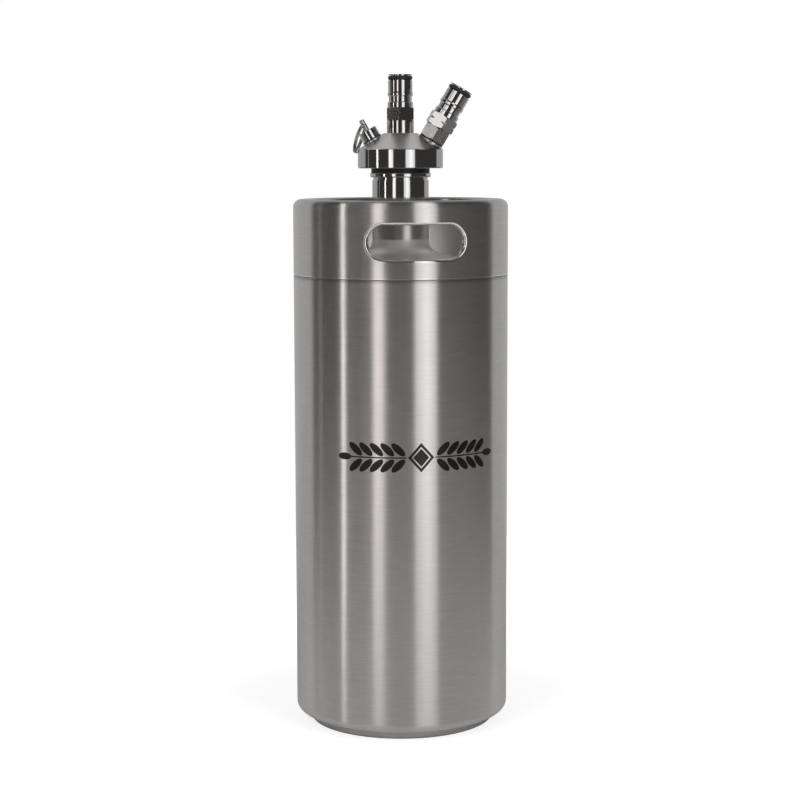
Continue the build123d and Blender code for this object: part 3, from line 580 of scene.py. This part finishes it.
def black_rubber(steel):
    """Moulded rubber with a faint bloom and a fine grain."""
    material, wires = new_material("black_rubber")
    grain = wires.noise(0.0004, detail=3.0)
    bloom = wires.noise(0.003, detail=3.0)
    tint = wires.mix(bloom, opaque(steel.rubber), shade(steel.rubber, 1.8))
    wires.surface(Base_Color=tint, Roughness=0.42 + 0.2 * bloom,
                  Normal=wires.bump(grain, 0.00002, 0.5))
    return material


def solder_metal(steel):
    """Solder that has set in soft lumps."""
    material, wires = new_material("solder")
    lumps = wires.noise(0.0015)
    tint = wires.mix(lumps, shade(steel.solder, 0.85), opaque(steel.solder))
    wires.surface(Base_Color=tint, Metallic=1.0, Roughness=0.3 + 0.15 * lumps,
                  Normal=wires.bump(lumps, 0.0002, 0.4))
    return material


# ---- operators ----
class KEG_OT_finish_skin(bpy.types.Operator):
    """Brushed body with its etched band, and the brushed handle skirt"""

    bl_idname = "keg.finish_skin"
    bl_label = "Finish brushed skin"

    def execute(self, context):
        scene = context.scene
        dress(["outer_shell"], brushed_keg(scene.keg_steel, scene.keg_ornament))
        dress(["handle_skirt"], brushed_keg(scene.keg_steel))
        return {"FINISHED"}


class KEG_OT_finish_pressings(bpy.types.Operator):
    """Shoulder, inner vessel, base plate and foot ring of plain sheet steel"""

    bl_idname = "keg.finish_pressings"
    bl_label = "Finish pressed steel"

    def execute(self, context):
        steel = context.scene.keg_steel
        # painted light: the shoulder, inner vessel and base plate are lighter steel
        sheet = pressed_steel("pressed_steel", steel, painted_lightness=1.12)
        # painted shade: the foot ring is darker steel
        foot = pressed_steel("foot_steel_painted_shade", steel, painted_lightness=0.72)
        dress(["outer_shoulder", "inner_vessel", "base_plate"], sheet)
        dress(["foot_ring"], foot)
        return {"FINISHED"}


class KEG_OT_finish_plug(bpy.types.Operator):
    """Solder seal in the base plate"""

    bl_idname = "keg.finish_plug"
    bl_label = "Finish solder seal"

    def execute(self, context):
        dress(["vacuum_seal_plug"], solder_metal(context.scene.keg_steel))
        return {"FINISHED"}


class KEG_OT_finish_head(bpy.types.Operator):
    """Neck and dip tube, satin inside the skirt and polished above it, and the head with its satin cone"""

    bl_idname = "keg.finish_head"
    bl_label = "Finish neck and head"

    def execute(self, context):
        steel = context.scene.keg_steel
        neck = turned_steel("polished_neck", steel, UPRIGHT, FLOOR, mark=0.0004, satin=SATIN_NECK)
        head = turned_steel("polished_head", steel, UPRIGHT, FLOOR, mark=0.0004, satin=SATIN_CONE)
        dress(["neck_tube", "dip_tube"], neck)
        dress(["head_body"], head)
        return {"FINISHED"}


class KEG_OT_finish_posts(bpy.types.Operator):
    """Quick-connect posts, and the hexagonal adapter under the gas post"""

    bl_idname = "keg.finish_posts"
    bl_label = "Finish posts"

    def execute(self, context):
        steel = context.scene.keg_steel
        for name in ("liquid_post", "gas_post"):
            axis, origin = MOUNTS[name]["axis"], MOUNTS[name]["pos_m"]
            dress([name], turned_steel("steel_of_" + name, steel, axis, origin, mark=0.0003))
        adapter = satin_steel("adapter_steel", steel.steel, roughness=0.2, grain_size=0.0003)
        dress(["gas_port_adapter"], adapter)
        return {"FINISHED"}


class KEG_OT_finish_poppets(bpy.types.Operator):
    """Steel poppets inside both posts"""

    bl_idname = "keg.finish_poppets"
    bl_label = "Finish poppets"

    def execute(self, context):
        steel = context.scene.keg_steel
        poppet = satin_steel("poppet_steel", steel.polished, roughness=0.2, grain_size=0.0002)
        dress(["liquid_poppet", "gas_poppet"], poppet)
        return {"FINISHED"}


class KEG_OT_finish_valve(bpy.types.Operator):
    """Relief valve, its stem and the split ring that pulls it"""

    bl_idname = "keg.finish_valve"
    bl_label = "Finish relief valve"

    def execute(self, context):
        steel = context.scene.keg_steel
        axis, origin = JOINTS["relief_pull"]["axis"], JOINTS["ring_swing"]["pos_m"]
        turned = turned_steel("valve_steel", steel, axis, origin, mark=0.0003)
        ring = satin_steel("ring_steel", steel.polished, roughness=0.14, grain_size=0.0004)
        dress(["relief_valve_body", "relief_valve_cap", "relief_stem"], turned)
        dress(["pull_ring"], ring)
        return {"FINISHED"}


class KEG_OT_finish_rubber(bpy.types.Operator):
    """Gasket, washers, O-rings and valve seals of black rubber"""

    bl_idname = "keg.finish_rubber"
    bl_label = "Finish rubber"

    def execute(self, context):
        nodes = ["head_gasket", "liquid_post_oring", "gas_post_oring", "dip_tube_oring", "gas_port_washer",
                 "relief_valve_washer", "relief_seal", "liquid_poppet_seal", "gas_poppet_seal"]
        dress(nodes, black_rubber(context.scene.keg_steel))
        return {"FINISHED"}


class KEG_OT_wind_springs(bpy.types.Operator):
    """Springs with closed ends in place of the plain coils"""

    bl_idname = "keg.wind_springs"
    bl_label = "Wind springs"

    def execute(self, context):
        settings = context.scene.keg_springs
        colour = context.scene.keg_steel.steel
        steel = satin_steel("spring_steel", colour, roughness=0.24, grain_size=0.0002)
        springs = [("liquid_poppet_spring", "liquid_poppet_press", MOUNTS["liquid_post"], POPPET_WIRE),
                   ("gas_poppet_spring", "gas_poppet_press", MOUNTS["gas_post"], POPPET_WIRE),
                   ("relief_spring", "relief_pull", JOINTS["ring_swing"], RELIEF_WIRE)]
        for node, joint_name, seat, wire in springs:
            self.wind(node, joint_name, seat["pos_m"], wire, settings, steel)
        return {"FINISHED"}

    def wind(self, node, joint_name, origin, wire, settings, steel):
        """One spring in the space of its CAD node, moving with the parent body of its joint."""
        joint = JOINTS[joint_name]
        axis = np.array(joint["axis"])
        low, high, radius = axis_space(node, axis, origin)
        line = spring_line(low, high, radius - wire, wire, settings.turns, settings.closed_turns,
                           settings.steps)
        turn = Vector(UPRIGHT).rotation_difference(Vector(axis)).to_matrix()
        points = tube_round(line, wire, settings.sides) @ np.array(turn).T + np.array(origin)
        piece = capped_mesh(node + "_coil", points)
        piece.data.materials.append(steel)
        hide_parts(node)
        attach(piece, joint["parent"])
        travel = joint["range_m"][1]
        tuple(np.array(origin) + high * axis)
        float(1 - travel / (high - low))
        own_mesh(piece)


class KEG_OT_set_stage(bpy.types.Operator):
    """White table, softboxes in a dark room, soft fill lamps and the camera"""

    bl_idname = "keg.set_stage"
    bl_label = "Set the stage"

    def execute(self, context):
        studio = context.scene.keg_studio
        self.surroundings(context.scene, studio)
        self.table(studio)
        for name, turn in FILL_LAMPS.items():
            self.lamp(name, turn, studio.fill)
        self.camera(context.scene, studio)
        context.scene.view_settings.view_transform = "Standard"
        return {"FINISHED"}

    def surroundings(self, scene, studio):
        """World: a dark room with upright softboxes, a pale backdrop behind the keg and a grey ceiling. The
        eye sees it white."""
        world = bpy.data.worlds.new("studio")
        scene.world = world
        wires = Wires(world)
        direction = wires.node("ShaderNodeTexCoord")    # the first output, a world's line of sight
        _, y, z = wires.parts(direction)
        turn = wires.turn(direction)
        colour = opaque(studio.room)
        rise = abs(z)
        for middle, lean, width, growth, soft, strength, bottom, top, tint in SOFTBOXES:
            tall = wires.band(z, bottom, top, min(SOFTEST_END, (top - bottom) / 4))
            edge = radians(width) / 2 + radians(growth) / 2 * rise
            across = turn - radians(middle) - radians(lean) * rise
            upright = wires.band(across, 0.0 - edge, edge, radians(soft))
            colour = wires.mix(upright * tall, colour, shade(tint, strength * studio.softbox))
        colour = wires.mix(wires.ramp(z, *GROUND_EDGE), colour, opaque(studio.ground))
        behind = wires.ramp(turn, *BACKDROP_LEFT).either(wires.ramp(turn, *BACKDROP_RIGHT))
        colour = wires.mix(behind, colour, opaque(studio.backdrop))
        back = wires.ramp(y, *CEILING_BREAK)
        overhead = wires.mix(back, opaque(studio.ceiling_front), opaque(studio.ceiling))
        colour = wires.mix(wires.ramp(z, *CEILING_EDGE), colour, overhead)
        eye = wires.node("ShaderNodeLightPath", output="Is Camera Ray")
        clear = wires.node("ShaderNodeLightPath", output="Is Transmission Ray")
        colour = wires.mix(eye.either(clear), colour, WHITE)
        light = wires.node("ShaderNodeBackground", values=[colour, 1.0])
        wires.node("ShaderNodeOutputWorld", values=[light])

    def table(self, studio):
        """Round table top: a flat disc with a rounded edge, as one outline of radii and heights carried
        round the axis. The eye sees it white, with the keg's faint shadow."""
        bend = np.linspace(0, pi / 2, 9)
        radii = np.concatenate([[TABLE_CAP], studio.floor_radius - TABLE_EDGE * (1 - np.sin(bend))])
        heights = np.concatenate([[0.0], TABLE_EDGE * (np.cos(bend) - 1)])
        angle = np.linspace(0, 2 * pi, 128, endpoint=False)
        flat = np.stack([np.cos(angle), -np.sin(angle), 0 * angle], axis=-1)
        points = radii[:, None, None] * flat + heights[:, None, None] * np.array(UPRIGHT)
        table = capped_mesh("table", points)
        material, wires = new_material("table_white")
        plain = wires.node("ShaderNodeBsdfDiffuse", values={"Color": opaque(studio.floor)})
        white = wires.node("ShaderNodeEmission", values={"Color": WHITE, "Strength": TABLE_GLOW})
        eye = wires.node("ShaderNodeLightPath", output="Is Camera Ray")
        far = wires.ramp(wires.out(), TABLE_NEAR, TABLE_FAR)
        shown = wires.node("ShaderNodeMixShader", values=[eye * (GLOW_NEAR + GLOW_GAIN * far), plain, white])
        wires.node("ShaderNodeOutputMaterial", values=[shown])
        table.data.materials.append(material)

    def lamp(self, name, turn, power):
        """Soft lamp above the camera's side that lights dull surfaces and stays out of the reflections."""
        data = bpy.data.lights.new(name, "AREA")
        data.shape = "SQUARE"
        data.size = LAMP_SIZE
        data.energy = power
        lamp = bpy.data.objects.new(name, data)
        bpy.context.scene.collection.objects.link(lamp)
        lamp.location = (LAMP_REACH * sin(turn), -LAMP_REACH * cos(turn), LAMP_HEIGHT)
        aim = Vector(LAMP_AIM) - lamp.location
        lamp.rotation_euler = aim.to_track_quat("-Z", "Y").to_euler()
        lamp.visible_camera = False
        lamp.visible_glossy = False

    def camera(self, scene, studio):
        """Camera in front of the keg, a little above its head."""
        data = bpy.data.cameras.new("front_camera")
        data.sensor_width = 36.0
        data.lens = studio.lens
        camera = bpy.data.objects.new("front_camera", data)
        scene.collection.objects.link(camera)
        place = Matrix.Translation((studio.sideways, -studio.distance, studio.eye_height))
        look = Matrix.Rotation(pi / 2 - studio.pitch, 4, "X") @ Matrix.Rotation(studio.roll, 4, "Z")
        camera.matrix_world = place @ look
        scene.camera = camera


class KEG_PT_sidebar(bpy.types.Panel):
    """Buttons for every group of pieces"""

    bl_label = "Mini Keg"
    bl_idname = "KEG_PT_sidebar"
    bl_space_type = "VIEW_3D"
    bl_region_type = "UI"
    bl_category = "Mini Keg"

    def draw(self, context):
        for operator in OPERATORS:
            self.layout.operator(operator.bl_idname)


SETTINGS = {"keg_steel": KegSteel, "keg_ornament": KegOrnament, "keg_springs": KegSprings,
            "keg_studio": KegStudio}
OPERATORS = [KEG_OT_finish_skin, KEG_OT_finish_pressings, KEG_OT_finish_plug, KEG_OT_finish_head,
             KEG_OT_finish_posts, KEG_OT_finish_poppets, KEG_OT_finish_valve, KEG_OT_finish_rubber,
             KEG_OT_wind_springs, KEG_OT_set_stage]


def register():
    for kind in [*SETTINGS.values(), *OPERATORS, KEG_PT_sidebar]:
        bpy.utils.register_class(kind)
    for name, kind in SETTINGS.items():
        setattr(bpy.types.Scene, name, PointerProperty(type=kind))


def unregister():
    for name in SETTINGS:
        delattr(bpy.types.Scene, name)
    for kind in [KEG_PT_sidebar, *reversed(OPERATORS), *reversed(SETTINGS.values())]:
        bpy.utils.unregister_class(kind)


def main():
    register()
    bpy.ops.keg.finish_skin()
    bpy.ops.keg.finish_pressings()
    bpy.ops.keg.finish_plug()
    bpy.ops.keg.finish_head()
    bpy.ops.keg.finish_posts()
    bpy.ops.keg.finish_poppets()
    bpy.ops.keg.finish_valve()
    bpy.ops.keg.finish_rubber()
    bpy.ops.keg.wind_springs()
    bpy.ops.keg.set_stage()


if __name__ == "__main__":
    main()
